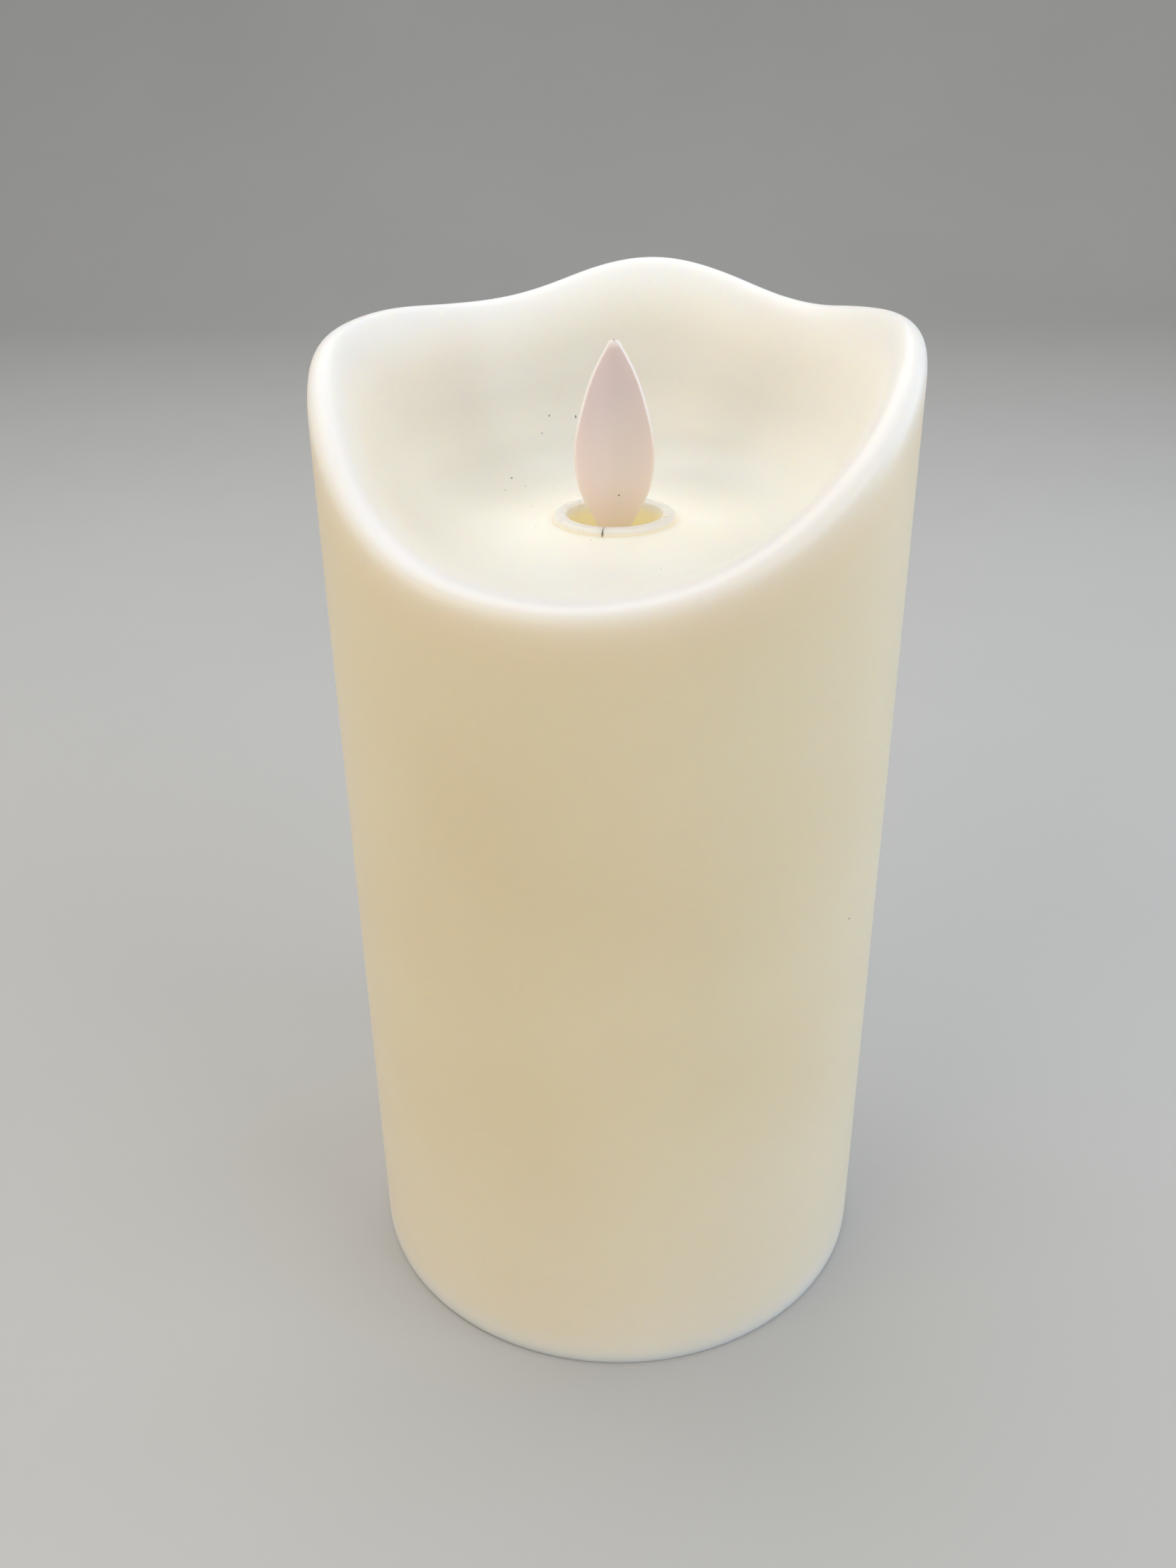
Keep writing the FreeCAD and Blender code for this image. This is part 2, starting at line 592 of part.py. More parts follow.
def battery_door():
    plate = block(HINGE_X, DOOR_END_X, -DOOR_Y, DOOR_Y, DOOR_LOW, PLATE_TOP)
    hinge_bead = Part.makeCylinder(HINGE_R, 2 * DOOR_Y, V(HINGE_X, -DOOR_Y, HINGE_Z), V(0, 1, 0))
    parts = [plate, hinge_bead]
    # Two hooks at the hinge, a stiffening rib, and the latch with its finger ribs.
    hook_top = PLATE_TOP + 1.3
    for y in (-DOOR_HOOK_Y, DOOR_HOOK_Y):
        y0 = y - DOOR_HOOK_HALF
        y1 = y + DOOR_HOOK_HALF
        parts.append(block(HINGE_X, HINGE_X + 1.4, y0, y1, PLATE_TOP - 0.5, hook_top))
        parts.append(block(HINGE_X - 1.6, HINGE_X + 1.4, y0, y1, PLATE_TOP + 0.15, hook_top))
    parts.append(block(-19.0, 16.0, -0.6, 0.6, PLATE_TOP - 0.5, PLATE_TOP + 1.2))
    latch_x = DOOR_END_X - 1.4
    parts.append(block(latch_x, DOOR_END_X, -LATCH_HALF, LATCH_HALF, PLATE_TOP - 0.5, PLATE_TOP + 1.4))
    for k in range(3):
        x = latch_x - LATCH_RIB_PITCH * k
        parts.append(block(x - 0.4, x + 0.4, -LATCH_HALF, LATCH_HALF, DOOR_LOW - 0.5, DOOR_LOW + 0.2))
    door = joined(parts)
    # Slots beside the latch tongue.
    for y in (-LATCH_SLOT_Y, LATCH_SLOT_Y):
        door = door.cut(block(DOOR_END_X - LATCH_SLOT_LENGTH, DOOR_END_X + 1, y - LATCH_SLOT_HALF,
                              y + LATCH_SLOT_HALF, 0, PLATE_TOP + 2))
    tip = V(ARROW_X + ARROW_LENGTH, 0, 0)
    arrow = Part.Face(Part.makePolygon([tip, V(ARROW_X, -3, 0), V(ARROW_X, 3, 0), tip]))
    door = door.cut(arrow.extrude(V(0, 0, DOOR_LOW + ARROW_DEPTH)))
    return door.Solids[0]


def cell(direction, y):
    """AA cell; direction +1 has its button towards +X."""
    can_end = CELL_LENGTH - CELL_BUTTON
    shoulder = CELL_R - 0.4
    foot_r = 4.6
    shape = turned([(0, 0), (foot_r, 0), (foot_r, 0.3), (shoulder, 0.3), (CELL_R, 0.7),
                    (CELL_R, can_end - 0.4), (shoulder, can_end), (CELL_BUTTON_R, can_end),
                    (CELL_BUTTON_R, CELL_LENGTH - 0.3), (CELL_BUTTON_R - 0.3, CELL_LENGTH),
                    (0, CELL_LENGTH)])
    shape.rotate(V(0, 0, 0), V(0, 1, 0), 90 * direction)
    shape.translate(V(direction * (CELL_TIP_X - CELL_LENGTH), y, CELL_Z))
    return shape


def contact_plate(with_dimple, y):
    parts = [block(CONTACT_FACE, BAY_X, y - CONTACT_HALF, y + CONTACT_HALF, CONTACT_LOW, CONTACT_TOP),
             block(CONTACT_FACE, BAY_X, y - TAG_HALF, y + TAG_HALF, CONTACT_TOP - 0.5, TAG_TOP)]
    if with_dimple:
        parts.append(Part.makeCylinder(DIMPLE_R, DIMPLE_DEPTH, V(CELL_TIP_X, y, CELL_Z), V(1, 0, 0)))
    return joined(parts)


def jumper_plate():
    plate = block(-BAY_X, -CONTACT_FACE, -JUMPER_HALF, JUMPER_HALF, CONTACT_LOW, CONTACT_TOP)
    dimple = Part.makeCylinder(DIMPLE_R, DIMPLE_DEPTH, V(-CELL_TIP_X, CELL_Y, CELL_Z), V(-1, 0, 0))
    return joined([plate, dimple])


def cell_spring(end, y):
    """Cone spring between a cell's flat end and a contact plate; end +1 is at +X."""
    cell_face = CELL_LENGTH - CELL_TIP_X
    rise = CONTACT_FACE - cell_face - 2 * SPRING_WIRE_R
    points = []
    for k in range(SPRING_STEPS):
        share = k / (SPRING_STEPS - 1)
        coil_r = SPRING_NARROW_R + (SPRING_WIDE_R - SPRING_NARROW_R) * share
        across, up = polar(coil_r, SPRING_STEP_ANGLE * k)
        points.append((end * (cell_face + SPRING_WIRE_R + rise * share), y + across, CELL_Z + up))
    return bent_wire(points, SPRING_WIRE_R)


def switch_case():
    case = block(-SWITCH_CASE_X, SWITCH_CASE_X, SWITCH_Y - SWITCH_CASE_Y, SWITCH_Y + SWITCH_CASE_Y,
                 PLATE_TOP, SWITCH_BOARD_LOW)
    case = case.cut(block(-5.5, 5.5, SWITCH_Y - 2.1, SWITCH_Y + 2.1, 3.8, 6.4))
    return case.cut(block(-4.0, 4.0, SWITCH_Y - 1.5, SWITCH_Y + 1.5, 2, 5))


def switch_slider():
    centre = -SWITCH_TRAVEL / 2
    knob = block(centre - KNOB_HALF, centre + KNOB_HALF, SWITCH_Y - 1.2, SWITCH_Y + 1.2, KNOB_LOW, 4.6)
    foot = block(centre - 3.0, centre + 3.0, SWITCH_Y - 1.8, SWITCH_Y + 1.8, 4.1, 5.1)
    slider = joined([knob, foot])
    for k in (-1, 0, 1):
        x = centre + 0.9 * k
        slider = slider.cut(block(x - 0.2, x + 0.2, SWITCH_Y - 2, SWITCH_Y + 2, 0, 0.8))
    return slider


def switch_board():
    board = block(-11, 11, SWITCH_Y - 3.6, SWITCH_Y + 3.6, SWITCH_BOARD_LOW, SWITCH_BOARD_TOP)
    for x in (-SWITCH_POST_X, SWITCH_POST_X):
        board = board.cut(rod(1.1, SWITCH_BOARD_LOW - 1, SWITCH_BOARD_TOP + 1, x, SWITCH_Y))
    for x in (-SWITCH_PITCH, 0, SWITCH_PITCH):
        board = board.cut(rod(0.5, SWITCH_BOARD_LOW - 1, SWITCH_BOARD_TOP + 1, x, SWITCH_Y))
    return board


def switch_pins():
    pins = [block(x - 0.25, x + 0.25, SWITCH_Y - 0.2, SWITCH_Y + 0.2, SWITCH_BOARD_LOW, SWITCH_PIN_TOP)
            for x in (-SWITCH_PITCH, 0, SWITCH_PITCH)]
    return Part.makeCompound(pins)


def switch_screws():
    top = SWITCH_BOARD_TOP
    screws = []
    for x in (-SWITCH_POST_X, SWITCH_POST_X):
        screw = turned([(0, top - 5), (0.9, top - 4.4), (0.9, top), (1.9, top), (1.9, top + 0.7),
                        (1.4, top + 1.3), (0, top + 1.4)])
        for turn in (0, 90):
            slot = block(-1.0, 1.0, -0.2, 0.2, top + 0.7, top + 2)
            slot.rotate(V(0, 0, 0), V(0, 0, 1), turn)
            screw = screw.cut(slot)
        screw.translate(V(x, SWITCH_Y, 0))
        screws.append(screw)
    return Part.makeCompound(screws)


def wire_red():
    """From the positive tag over the cell bay and down to the switch."""
    level = TAG_WIRE_Z
    pin_x = SWITCH_PITCH
    return bent_wire([(CONTACT_FACE, -CELL_Y, level), (14, -CELL_Y, level), (pin_x, 4, level),
                      (pin_x, SWITCH_Y, level), (pin_x, SWITCH_Y, SWITCH_PIN_TOP)], WIRE_R, 4.0)


def wire_switch():
    """From the switch up to the control board."""
    return bent_wire([(-SWITCH_PITCH, SWITCH_Y, SWITCH_PIN_TOP), (-SWITCH_PITCH, SWITCH_Y, 38),
                      (WIRE_HOLE_X, WIRE_SPREAD, 62), (WIRE_HOLE_X, WIRE_SPREAD, BOARD_LOW)],
                     WIRE_R, 8.0)


def wire_black():
    """From the negative tag up to the control board."""
    return bent_wire([(CONTACT_FACE, CELL_Y, TAG_WIRE_Z), (19, CELL_Y, TAG_WIRE_Z),
                      (WIRE_HOLE_X, -WIRE_SPREAD, 34), (WIRE_HOLE_X, -WIRE_SPREAD, BOARD_LOW)],
                     WIRE_R, 7.0)


save("wax_shell", wax_shell())
save("flame_collar", flame_collar())
save("flame_paddle", flame_paddle())
save("pivot_wire", pivot_wire())
save("flame_magnet", flame_magnet())
save("module_cover", module_cover())
save("module_cup", module_cup())
save("module_screws", module_screws())
save("control_board", control_board())
save("coil_bobbin", coil_bobbin())
save("coil_winding", coil_winding())
save("coil_leads", coil_leads())
save("led_front", led(-1))
save("led_rear", led(1))
save("led_leads", led_leads())
save("driver_chip", driver_chip())
save("chip_pins", chip_pins())
save("smoothing_capacitor", smoothing_capacitor())
save("coil_transistor", coil_transistor())
save("transistor_pins", transistor_pins())
save("resistors", resistors())
save("base_housing", base_housing())
save("battery_door", battery_door())
save("battery_front", cell(1, -CELL_Y))
save("battery_rear", cell(-1, CELL_Y))
save("positive_contact", contact_plate(True, -CELL_Y))
save("negative_contact", contact_plate(False, CELL_Y))
save("negative_spring", cell_spring(1, CELL_Y))
save("jumper_plate", jumper_plate())
save("jumper_spring", cell_spring(-1, -CELL_Y))
save("switch_case", switch_case())
save("switch_slider", switch_slider())
save("switch_board", switch_board())
save("switch_pins", switch_pins())
save("switch_screws", switch_screws())
save("wire_red", wire_red())
save("wire_switch", wire_switch())
save("wire_black", wire_black())
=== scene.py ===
import bpy
import json
import math
from mathutils import Matrix, Vector


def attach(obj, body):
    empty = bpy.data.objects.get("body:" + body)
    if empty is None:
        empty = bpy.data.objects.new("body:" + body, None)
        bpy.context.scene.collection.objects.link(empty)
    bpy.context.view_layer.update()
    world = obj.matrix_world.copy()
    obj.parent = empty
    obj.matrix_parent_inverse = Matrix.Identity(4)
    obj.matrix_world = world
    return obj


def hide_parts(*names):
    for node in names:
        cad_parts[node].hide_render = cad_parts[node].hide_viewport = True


# Looks of a flameless LED candle: a translucent wax pillar with a dished, wavy top, a split
# collar, a leaf shaped flame, and the battery base underneath. The object's own sizes are in
# millimetres; lights, camera, floor and the numbers in materials are in metres. Front is -Y.

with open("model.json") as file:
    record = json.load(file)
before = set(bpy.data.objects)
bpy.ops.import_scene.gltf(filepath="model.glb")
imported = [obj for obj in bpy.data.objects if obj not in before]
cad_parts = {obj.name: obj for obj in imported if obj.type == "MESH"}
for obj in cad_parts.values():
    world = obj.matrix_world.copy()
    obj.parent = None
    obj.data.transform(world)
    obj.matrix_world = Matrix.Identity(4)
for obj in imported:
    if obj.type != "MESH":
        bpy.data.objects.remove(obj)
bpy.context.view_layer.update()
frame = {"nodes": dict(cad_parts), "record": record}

MM = 0.001
BODY_R = 40.0
BORE_R = 34.0
ROOF_Z = 112.0
DISH_FLOOR = 119.95
HOLE_R = 8.1

# Height of the rim: (azimuth from +X, height). Low lip in front, tall wave at the back.
RIM = [(-102, 120.8), (-88, 121.4), (-74, 123.3), (-60, 127.0), (-46, 131.8),
       (-32, 136.7), (-18, 141.7), (-4, 144.7), (10, 145.4), (26, 144.8),
       (40, 143.9), (52, 144.8), (63, 147.0), (73, 148.7), (81, 149.2),
       (90, 148.5), (99, 146.8), (108, 144.8), (119, 143.8), (132, 143.9),
       (146, 144.5), (160, 144.3), (173, 143.6), (183, 141.9), (193, 138.1),
       (204, 132.8), (215, 127.9), (226, 124.4), (238, 122.2)]

# Section of the dish from the hole to the wall: (radius, share of the rim's rise, drop below
# it, painted highlight there). The lip carries the strongest painted highlight, which fades to the ivory
# wall under it.
DISH_SECTION = [(HOLE_R, 0, 0, 0.0), (8.22, 0, 0, 0.0), (9.0, 0, 0, 0.0), (12.0, 0, 0, 0.0),
                (17.0, 0, 0, 0.0), (22.0, 0.03, 0, 0.0), (26.5, 0.14, 0, 0.0), (30.0, 0.38, 0, 0.0),
                (32.8, 0.70, 0, 0.02), (35.2, 0.93, 0, 0.4), (37.2, 1.02, 0, 1.0),
                (38.8, 1.01, 0.15, 0.95), (39.8, 1.0, 1.0, 0.7), (BODY_R, 1.0, 2.6, 0.35),
                (BODY_R, 1.0, 4.6, 0.12), (BODY_R, 1.0, 7.0, 0.0), (BODY_R, 1.0, 10.5, 0.0)]
# Rest of the section: down the wall, under the foot, up the bore, along the dish's underside
# and up the hole again.
WALL_SECTION = [(BODY_R, 104), (BODY_R, 85), (BODY_R, 60), (BODY_R, 30), (BODY_R, 8), (BODY_R, 2.5),
                (BODY_R, 0.8), (39.96, 0.2), (39.3, 0.0), (37.0, 0.0), (35.3, 0.0), (34.15, 0.1),
                (BORE_R, 0.8), (BORE_R, 6), (BORE_R, 50), (BORE_R, 100), (BORE_R, 109.5),
                (33.4, 111.6), (31.0, ROOF_Z), (20.0, ROOF_Z), (9.2, ROOF_Z), (8.15, 112.1),
                (HOLE_R, 113.0), (HOLE_R, 119.0), (HOLE_R, 119.8)]
AZIMUTH_STEPS = 48
# Where the rim is tall the painted highlight band reaches further down, in proportion from these heights.
TALL_FROM = 130.0
TALL_SPAN = 20.0

# Half width of the leaf at each height, tip first, and of its tail below.
LEAF = [(143.6, 0.0), (143.56, 0.46), (143.35, 0.76), (142.7, 1.10), (141.4, 1.86), (139.1, 3.0),
        (135.8, 4.15), (131.3, 5.2), (127.8, 5.45), (124.3, 4.93), (121.9, 3.9), (119.5, 2.6),
        (117.3, 1.9), (115.0, 1.8), (104.5, 1.8)]
# Half thickness along the middle of the leaf. Its faces fall away to the sides in two soft
# planes that meet in a ridge, and end in a bevel.
LEAF_THICK = [(143.6, 0.35), (136.0, 0.80), (127.0, 1.02), (119.0, 0.9), (104.5, 0.9)]
LEAF_FULL_THICK = max(thick for z, thick in LEAF_THICK)
LEAF_SIDE = 0.52
LEAF_BEVEL = 0.30
LEAF_RIDGE_WIDTH = 0.35
LEAF_LEAST_WIDTH = 0.03
LEAF_FACE_STEPS = 9
# The bevel widens, and the painted highlight on its edge sets in, over this stretch above the broadest
# part.
BEVEL_FROM = 127.0
BEVEL_SPAN = 8.0
TIP_HIGHLIGHT_FROM = 142.6
TIP_HIGHLIGHT_SPAN = 0.6
EDGE_HIGHLIGHT = 0.6
PIVOT_Z = 113.05
EYE_R = 0.35
EYE_REACH = 3.0
EYE_POINTS = 24
# Heights at which the leaf is cut into sections: close at the tip, even down the leaf, close
# round the wire's eye, and wide down the tail.
TIP_HEIGHTS = [143.59, 143.56, 143.5, 143.4, 143.25, 143.05, 142.8, 142.5, 142.2, 141.85]
LEAF_HEIGHTS = [141.5 - 0.5 * k for k in range(53)]
EYE_HEIGHTS = [PIVOT_Z + offset for offset in (1.2, 0.6, 0.0, -0.6, -1.2)]
TAIL_HEIGHTS = [110.0, 107.0, 104.5]

COLLAR_IN = 6.7
COLLAR_OUT = 8.5
COLLAR_TOP = 120.8
COLLAR_UNDER = 119.97
COLLAR_STATIONS = 180
SKIRT_R = 7.4
SKIRT_Z = 113.35
SLIT_AZIMUTH = -101.0
SLIT_WIDTH = 0.2
# Places along the curve that rounds a corner of the collar's section.
CORNER_SHARES = (0.0, 0.17, 0.33, 0.5, 0.67, 0.83, 1.0)

# Specks of dust: (x, y, radius) on the dish, and (x, z, radius) on the flame's face and the
# front of the body.
DISH_DUST = [(-15.2, 16.5, 0.22), (-13.1, 14.8, 0.12), (-15.9, 12.5, 0.13), (-11.7, 5.9, 0.11),
             (-10.7, -3.6, 0.10), (-5.2, 11.1, 0.09), (-3.1, -9.9, 0.13), (5.7, -22.1, 0.12),
             (11.0, 9.3, 0.09), (-9.9, 27.2, 0.12), (-5.9, 27.9, 0.14), (-11.0, 25.4, 0.10),
             (-1.66, -8.55, 0.24)]
FLAME_DUST = [(0.6, 123.4, 0.15)]
BODY_DUST = [(32.4, 69.7, 0.16)]

# Camera: a hand-held look down at the candle from the front, turned and rolled a little.
CAMERA_PLACE = (0.0, -0.1844, 0.1749)
CAMERA_TURN = -1.285
CAMERA_TIP = 27.53
CAMERA_ROLL = -0.76
CAMERA_LENS = 31.56
CAMERA_SENSOR = 36.0
CAMERA_NEAREST = 0.01

# Floor that runs up into a backdrop over a round bend.
FLOOR_HALF = 1.6
FLOOR_BACK = 0.9
BEND_R = 0.5
BEND_STEPS = 12
BACKDROP_TOP = 1.8

# Lights: name, place, width and height, power, colour. Warm from the left, cool from the right.
LIGHTS = [("overhead", (-0.14, 0.30, 0.80), (0.9, 0.7), 3.5, (0.99, 0.99, 0.99)),
          ("left_fill", (-0.60, -0.50, 0.40), (0.6, 0.7), 2.37, (1.0, 0.87, 0.64)),
          ("right_fill", (0.65, -0.40, 0.45), (0.6, 0.7), 2.9, (0.78, 0.89, 1.0)),
          ("right_edge", (0.60, 0.22, 0.22), (0.3, 0.5), 0.7, (0.72, 0.86, 1.0))]
LIGHT_AIM = (0.0, 0.0, 0.09)
SKY_COLOUR = (1.0, 0.99, 0.98, 1.0)
SKY_STRENGTH = 0.45


# ------------------------------------------------------------------ small tools
def smooth_between(points, x):
    """Catmull-Rom value at x through (x, y) points sorted either way."""
    points = sorted(points)
    if x <= points[0][0]:
        return points[0][1]
    if x >= points[-1][0]:
        return points[-1][1]
    k = max(i for i in range(len(points) - 1) if points[i][0] <= x)
    x0, y0 = points[k]
    x1, y1 = points[k + 1]
    xa, ya = points[max(k - 1, 0)]
    xb, yb = points[min(k + 2, len(points) - 1)]
    step = x1 - x0
    slope0 = (y1 - ya) / (x1 - xa) * step
    slope1 = (yb - y0) / (xb - x0) * step
    t = (x - x0) / step
    return ((1 + 2 * t) * (1 - t) ** 2 * y0 + t * (1 - t) ** 2 * slope0
            + t * t * (3 - 2 * t) * y1 + t * t * (t - 1) * slope1)


def share_above(z, start, span):
    """How far z is up the stretch from start, from 0 to 1."""
    return min(1.0, max(0.0, (z - start) / span))


def rim_height(azimuth):
    azimuth = (azimuth - RIM[0][0]) % 360 + RIM[0][0]
    lap = [(a - 360, h) for a, h in RIM[-2:]] + RIM + [(a + 360, h) for a, h in RIM[:2]]
    return smooth_between(lap, azimuth)


def on_circle(radius, azimuth, z):
    a = math.radians(azimuth)
    return Vector((radius * math.cos(a), radius * math.sin(a), z))


def linked(name, data):
    """A new object for the data, in the scene."""
    thing = bpy.data.objects.new(name, data)
    bpy.context.scene.collection.objects.link(thing)
    return thing


def mesh_piece(name, verts, faces, material, body):
    """A smooth mesh object from millimetre points, riding on a CAD body."""
    mesh = bpy.data.meshes.new(name)
    mesh.from_pydata([Vector(v) * MM for v in verts], [], faces)
    mesh.validate()
    mesh.update()
    mesh.polygons.foreach_set("use_smooth", [True] * len(mesh.polygons))
    mesh.materials.append(material)
    piece = linked(name, mesh)
    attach(piece, body)
    return piece


def set_painted_highlight(piece, values):
    piece.data.attributes.new("painted_highlight", "FLOAT", "POINT").data.foreach_set("value", values)


def ring_faces(rings, count, closed_section):
    """Quads between neighbouring rings of count points; the rings may close on themselves."""
    faces = []
    last = rings if closed_section else rings - 1
    for i in range(last):
        j = (i + 1) % rings
        for k in range(count):
            m = (k + 1) % count
            faces.append((i * count + k, j * count + k, j * count + m, i * count + m))
    return faces


def end_faces(rings, count):
    """Caps on the first and the last ring of count points."""
    return [tuple(reversed(range(count))), tuple(range((rings - 1) * count, rings * count))]


# ------------------------------------------------------------------ materials
class Shader:
    """Thin wrapper that keeps node building short."""

    def __init__(self, name):
        self.material = bpy.data.materials.new(name)
        self.material.use_nodes = True
        self.tree = self.material.node_tree
        self.main = self.tree.nodes["Principled BSDF"]
        self.coords = self.tree.nodes.new("ShaderNodeTexCoord")

    def link(self, out, target):
        self.tree.links.new(out, target)

    def drive(self, **sources):
        """Link node outputs to the main shader's sockets, spaces written as underscores."""
        for key, source in sources.items():
            self.link(source, self.main.inputs[key.replace("_", " ")])

    def set(self, **values):
        """Set constants on the main shader's sockets, spaces written as underscores."""
        for key, value in values.items():
            self.main.inputs[key.replace("_", " ")].default_value = value

    def stretched(self, scale):
        node = self.tree.nodes.new("ShaderNodeMapping")
        node.inputs["Scale"].default_value = scale
        self.link(self.coords.outputs["Object"], node.inputs["Vector"])
        return node.outputs["Vector"]

    def noise(self, scale, detail=3.0, stretch=None):
        node = self.tree.nodes.new("ShaderNodeTexNoise")
        node.inputs["Scale"].default_value = scale
        node.inputs["Detail"].default_value = detail
        node.inputs["Roughness"].default_value = 0.55
        vector = self.stretched(stretch) if stretch else self.coords.outputs["Object"]
        self.link(vector, node.inputs["Vector"])
        return node.outputs["Fac"]

    def ramp(self, value, stops):
        """Colour ramp: (place, colour) stops."""
        node = self.tree.nodes.new("ShaderNodeValToRGB")
        ramp = node.color_ramp
        while len(ramp.elements) < len(stops):
            ramp.elements.new(0.5)
        for element, (place, colour) in zip(ramp.elements, stops):
            element.position = place
            element.color = (*colour, 1.0)
        self.link(value, node.inputs["Fac"])
        return node.outputs["Color"]

    def levels(self, value, stops):
        """Grey ramp: (place, level) stops."""
        return self.ramp(value, [(place, (level, level, level)) for place, level in stops])

    def mottled(self, scale, low, high, detail=2.0, stops=(0.35, 0.65)):
        """Two close tones, mixed by noise."""
        return self.ramp(self.noise(scale, detail), [(stops[0], low), (stops[1], high)])

    def spread(self, value, low, high, from_low=0.3, from_high=0.7):
        """Value brought from one range to another, and held at its ends."""
        node = self.tree.nodes.new("ShaderNodeMapRange")
        node.inputs["From Min"].default_value = from_low
        node.inputs["From Max"].default_value = from_high
        node.inputs["To Min"].default_value = low
        node.inputs["To Max"].default_value = high
        self.link(value, node.inputs["Value"])
        return node.outputs["Result"]

    def blend(self, factor, first, second, mode="MIX"):
        node = self.tree.nodes.new("ShaderNodeMix")
        node.data_type = "RGBA"
        node.blend_type = mode
        factor_in = node.inputs["Factor"]
        first_in, second_in = node.inputs[6], node.inputs[7]
        for source, target in ((factor, factor_in), (first, first_in), (second, second_in)):
            self.link(source, target)
        return node.outputs[2]

    def calculated(self, operation, first, second):
        node = self.tree.nodes.new("ShaderNodeMath")
        node.operation = operation
        self.link(first, node.inputs[0])
        self.link(second, node.inputs[1])
        return node.outputs["Value"]

    def larger(self, first, second):
        return self.calculated("MAXIMUM", first, second)

    def product(self, first, second):
        return self.calculated("MULTIPLY", first, second)

    def bump(self, value, distance, strength=1.0, under=None):
        node = self.tree.nodes.new("ShaderNodeBump")
        node.inputs["Distance"].default_value = distance
        node.inputs["Strength"].default_value = strength
        self.link(value, node.inputs["Height"])
        if under:
            self.link(under, node.inputs["Normal"])
        return node.outputs["Normal"]

    def axis(self, name):
        node = self.tree.nodes.new("ShaderNodeSeparateXYZ")
        self.link(self.coords.outputs["Object"], node.inputs["Vector"])
        return node.outputs[name]

    def radius(self):
        """Distance from the candle's axis."""
        node = self.tree.nodes.new("ShaderNodeVectorMath")
        node.operation = "LENGTH"
        self.link(self.stretched((1.0, 1.0, 0.0)), node.inputs[0])
        return node.outputs["Value"]

    def attribute(self, name):
        node = self.tree.nodes.new("ShaderNodeAttribute")
        node.attribute_name = name
        return node.outputs["Fac"]

    def specks(self, places, plane):
        """Mask of round specks at (u, v, radius) in mm, seen along the axis plane leaves out."""
        flat = self.stretched(plane)
        mask = None
        for u, v, size in places:
            far = self.tree.nodes.new("ShaderNodeVectorMath")
            far.operation = "DISTANCE"
            self.link(flat, far.inputs[0])
            far.inputs[1].default_value = (u * MM, v * MM * plane[1], v * MM * plane[2])
            spot = self.spread(far.outputs["Value"], 0.85, 0.0, 0.6 * size * MM, size * MM)
            mask = self.larger(mask, spot) if mask else spot
        return mask

    def dusty(self, tone, mask):
        """Tone with dark grit where the mask is; light enters the material only elsewhere."""
        grit = self.ramp(self.noise(900.0), [(0.3, (0.06, 0.05, 0.04)), (0.7, (0.15, 0.13, 0.10))])
        self.drive(Subsurface_Weight=self.spread(mask, 1.0, 0.1, 0.0, 0.85))
        return self.blend(mask, tone, grit)

    def slit_dark_mask(self):
        """Mask that darkens the two faces of the collar's slit, less towards the top."""
        across = self.tree.nodes.new("ShaderNodeVectorMath")
        across.operation = "DOT_PRODUCT"
        self.link(self.coords.outputs["Object"], across.inputs[0])
        across.inputs[1].default_value = on_circle(1.0, SLIT_AZIMUTH + 90.0, 0.0)
        offset = self.tree.nodes.new("ShaderNodeMath")
        offset.operation = "ABSOLUTE"
        self.link(across.outputs["Value"], offset.inputs[0])
        half = SLIT_WIDTH / 2 * MM
        near = self.spread(offset.outputs["Value"], 0.7, 0.0, half, half + 0.05 * MM)
        low = self.spread(self.axis("Z"), 1.0, 0.35, COLLAR_UNDER * MM, COLLAR_TOP * MM)
        front = self.spread(self.axis("Y"), 1.0, 0.0, -6 * MM, -5 * MM)
        return self.product(self.product(near, low), front)


def wax_dish_tone(s):
    """Tone inside the dish: a warm pool of painted light by the ring, paler outside it, the left painted
    warmer and the right cooler as the side lights tint them, and painted shade on the steep back wall.
    """
    # Painted light: the left of the dish is painted warmer and the right cooler, as the warm and cool
    # side lights tint them.
    left = s.mottled(40.0, (0.876, 0.818, 0.702), (0.890, 0.833, 0.719))
    right = s.mottled(40.0, (0.880, 0.865, 0.797), (0.896, 0.881, 0.817))
    pale = s.blend(s.spread(s.axis("X"), 0.0, 1.0, -0.026, -0.006), left, right)
    # Painted shade: the steep back wall is painted darker, where less light falls on it.
    steep_wall_shade = s.levels(s.spread(s.radius(), 0.0, 1.0, 0.020, 0.036),
                     [(0.0, 0.955), (0.3, 0.995), (0.5, 1.0), (0.66, 0.92), (0.78, 0.925), (0.92, 0.975)])
    plain = s.levels(s.noise(60.0, 2.0), [(0.3, 0.95), (0.7, 0.96)])
    shade = s.blend(s.spread(s.axis("Y"), 0.0, 1.0, -0.010, 0.012), plain, steep_wall_shade)
    pale = s.blend(s.spread(s.noise(60.0, 2.0), 0.9, 1.0), pale, shade, "MULTIPLY")
    # Painted light: a warm, paler pool by the ring, for light through the thin wax there.
    ring_light_pool = s.mottled(70.0, (0.915, 0.880, 0.795), (0.930, 0.895, 0.815))
    return s.blend(s.spread(s.radius(), 1.0, 0.0, 0.009, 0.022), pale, ring_light_pool)


def wax_lip_highlight_tone(s):
    """Painted highlight on the rounded lip: painted whiter towards the back, where less light falls on
    it, and darker at the front, where more does.
    """
    front_lip_painted_shade = s.mottled(40.0, (0.795, 0.773, 0.765), (0.812, 0.790, 0.783))
    back_lip_painted_light = s.mottled(40.0, (0.940, 0.934, 0.926), (0.952, 0.946, 0.938))
    back = s.levels(s.spread(s.axis("Y"), 0.0, 1.0, -0.040, 0.040),
                    [(0.12, 0.0), (0.35, 0.4), (0.85, 0.4), (0.97, 1.0)])
    return s.blend(back, front_lip_painted_shade, back_lip_painted_light)


